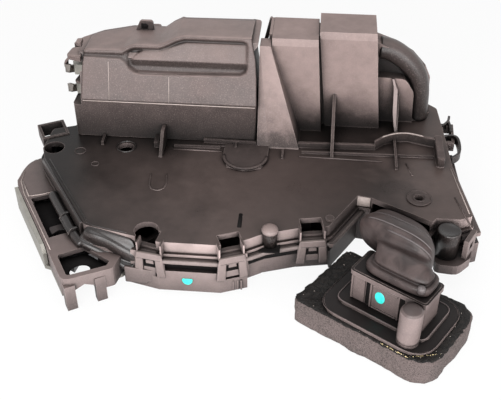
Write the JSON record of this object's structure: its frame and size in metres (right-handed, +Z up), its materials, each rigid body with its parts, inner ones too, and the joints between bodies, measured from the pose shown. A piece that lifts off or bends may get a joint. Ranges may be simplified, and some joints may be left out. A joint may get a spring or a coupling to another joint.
{
  "type": "car door lock",
  "caption": "Side door latch with an electric lock drive in a flat plastic housing, and a foam-sealed harness connector on a rubber elbow.",
  "frame": {"origin": "on the mounting face of the steel latch plate, beside the striker's mouth", "axes": "+X along the housing towards the connector, +Z up from the mounting face towards the motor cover"},
  "size_m": [0.2025, 0.1587, 0.072],
  "materials": {
    "cover_plastic": "semi-gloss moulded nylon",
    "tray_plastic": "fine texture",
    "drive_cover_plastic": "spark-eroded texture",
    "carrier_plastic": "fine texture",
    "zinc_steel": "zinc plated",
    "dark_steel": "blackened",
    "spring_steel": "bright drawn wire",
    "gear_plastic": "natural acetal",
    "motor_steel": "plated can",
    "brass": "machined",
    "rubber": "moulded",
    "connector_plastic": "satin",
    "foam": "open-cell foam"
  },
  "bodies": {
    "housing": {"top_cover": "cover_plastic", "motor_cover": "drive_cover_plastic", "base_tray": "tray_plastic", "latch_carrier": "carrier_plastic", "latch_plate": "zinc_steel", "fork_rivet": "dark_steel", "pawl_rivet": "dark_steel", "fork_spring": "spring_steel", "pawl_spring": "spring_steel", "striker_bumper": "rubber", "motor_body": "motor_steel", "wheel_axle": "dark_steel", "lever_pin": "dark_steel", "connector_housing": "connector_plastic", "connector_seal": "foam", "cable_boot": "rubber", "lead_frame": "tray_plastic", "lock_switch": "tray_plastic", "contact_pin_1": "brass", "contact_pin_2": "brass", "contact_pin_3": "brass", "contact_pin_4": "brass", "contact_pin_5": "brass", "contact_pin_6": "brass"},
    "fork": {"fork_bolt": "dark_steel"},
    "pawl": {"pawl": "dark_steel"},
    "worm": {"motor_worm": "brass"},
    "wheel": {"worm_wheel": "gear_plastic"},
    "slider": {"lock_slider": "gear_plastic"},
    "outside_lever": {"outside_release_lever": "zinc_steel"},
    "inside_lever": {"inside_release_lever": "zinc_steel"},
    "plunger": {"switch_plunger": "gear_plastic"}
  },
  "joints": [
    {"name": "fork_turn", "type": "hinge", "parent": "housing", "child": "fork", "pos_m": [0.00817, -0.03592, 0.0046], "axis": [0, 0, -1], "range_deg": [0, 50], "stiffness_Nm_per_rad": 0.05, "springref_deg": -22.92},
    {"name": "outside_release", "type": "hinge", "parent": "housing", "child": "outside_lever", "pos_m": [-0.00266, 0.02953, 0.02], "axis": [0, 0, 1], "range_deg": [0, 20], "stiffness_Nm_per_rad": 0.05, "springref_deg": -11.46},
    {"name": "pawl_lift", "type": "hinge", "parent": "housing", "child": "pawl", "pos_m": [-0.01474, -0.00653, 0.0046], "axis": [0, 0, -1], "range_deg": [0, 20]},
    {"name": "inside_release", "type": "hinge", "parent": "housing", "child": "inside_lever", "pos_m": [-0.00266, 0.02953, 0.046], "axis": [0, 0, 1], "range_deg": [0, 20], "stiffness_Nm_per_rad": 0.05, "springref_deg": -11.46},
    {"name": "wheel_turn", "type": "hinge", "parent": "housing", "child": "wheel", "pos_m": [0.04184, 0.03053, 0.0226], "axis": [0, 1, 0], "range_deg": [-40, 40]},
    {"name": "motor_spin", "type": "hinge", "parent": "housing", "child": "worm", "pos_m": [0.03234, 0.03053, 0.0387], "axis": [1, 0, 0], "range_deg": [-765, 765]},
    {"name": "lock_slide", "type": "slide", "parent": "housing", "child": "slider", "axis": [1, 0, 0], "range_m": [-0.0053, 0.0053]},
    {"name": "switch_press", "type": "slide", "parent": "housing", "child": "plunger", "axis": [0, 0, -1], "range_m": [0, 0.001], "stiffness_N_per_m": 100, "springref_m": -0.001}
  ],
  "couplings": [
    {"joint": "pawl_lift", "follows": "outside_release", "ratio": 1},
    {"joint": "motor_spin", "follows": "wheel_turn", "ratio": -19},
    {"joint": "lock_slide", "follows": "wheel_turn", "m_per_rad": -0.00737}
  ]
}
